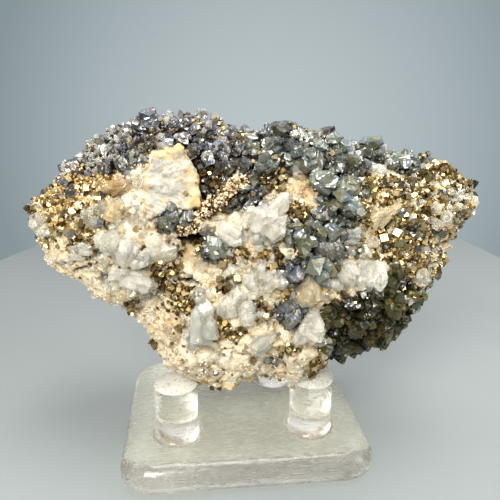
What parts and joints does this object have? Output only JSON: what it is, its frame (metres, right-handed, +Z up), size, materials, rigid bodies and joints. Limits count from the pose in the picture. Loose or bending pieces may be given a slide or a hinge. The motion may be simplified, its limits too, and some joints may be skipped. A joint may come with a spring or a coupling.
{
  "type": "sphalerite crystal specimen on a stand",
  "caption": "Rock with dark sphalerite, pyrite and milky quartz crystals on its face, leaning back on a clear display stand with short round posts.",
  "frame": {"origin": "centre of the stand base's underside", "axes": "+Z up, +X along the stone's and the base's long side to the right as seen from the front, +Y to the back"},
  "size_m": [0.1303, 0.0644, 0.1024],
  "materials": {
    "clear_acrylic": "clear, scratched, sawn post tops",
    "cream_rock": "rough, sugary, iron stained",
    "white_quartz_vein": "rough, broken",
    "sphalerite": "glossy crystal faces, resinous",
    "pyrite": "bright crystal faces",
    "milky_quartz": "glassy, milky inside"
  },
  "bodies": {
    "root": {"stand_base": "clear_acrylic", "stand_post_left": "clear_acrylic", "stand_post_right": "clear_acrylic", "stand_post_back": "clear_acrylic", "rock": "cream_rock", "quartz_plate": "white_quartz_vein", "pyrite_left_slope": "pyrite", "pyrite_right_end": "pyrite", "pyrite_rim": "pyrite", "quartz_below_plate": "milky_quartz", "quartz_big_clear": "milky_quartz", "quartz_brown_band": "milky_quartz", "quartz_centre": "milky_quartz", "quartz_centre_low": "milky_quartz", "quartz_cream_point": "milky_quartz", "quartz_cream_slope": "milky_quartz", "quartz_fan": "milky_quartz", "quartz_fan_left": "milky_quartz", "quartz_far_right": "milky_quartz", "quartz_grey_slope": "milky_quartz", "quartz_greyish": "milky_quartz", "quartz_knob": "milky_quartz", "quartz_left_tip": "milky_quartz", "quartz_low_right": "milky_quartz", "quartz_milky_left": "milky_quartz", "quartz_pale_low": "milky_quartz", "quartz_right_hexagon": "milky_quartz", "quartz_right_pair": "milky_quartz", "quartz_right_prism": "milky_quartz", "quartz_round": "milky_quartz", "quartz_slanted": "milky_quartz", "quartz_tall_grey": "milky_quartz", "sphalerite_hollow": "sphalerite", "sphalerite_lower": "sphalerite", "sphalerite_lower_right": "sphalerite", "sphalerite_middle": "sphalerite", "sphalerite_ridge": "sphalerite", "sphalerite_spotted": "sphalerite", "sphalerite_under_plate": "sphalerite"}
  },
  "joints": []
}
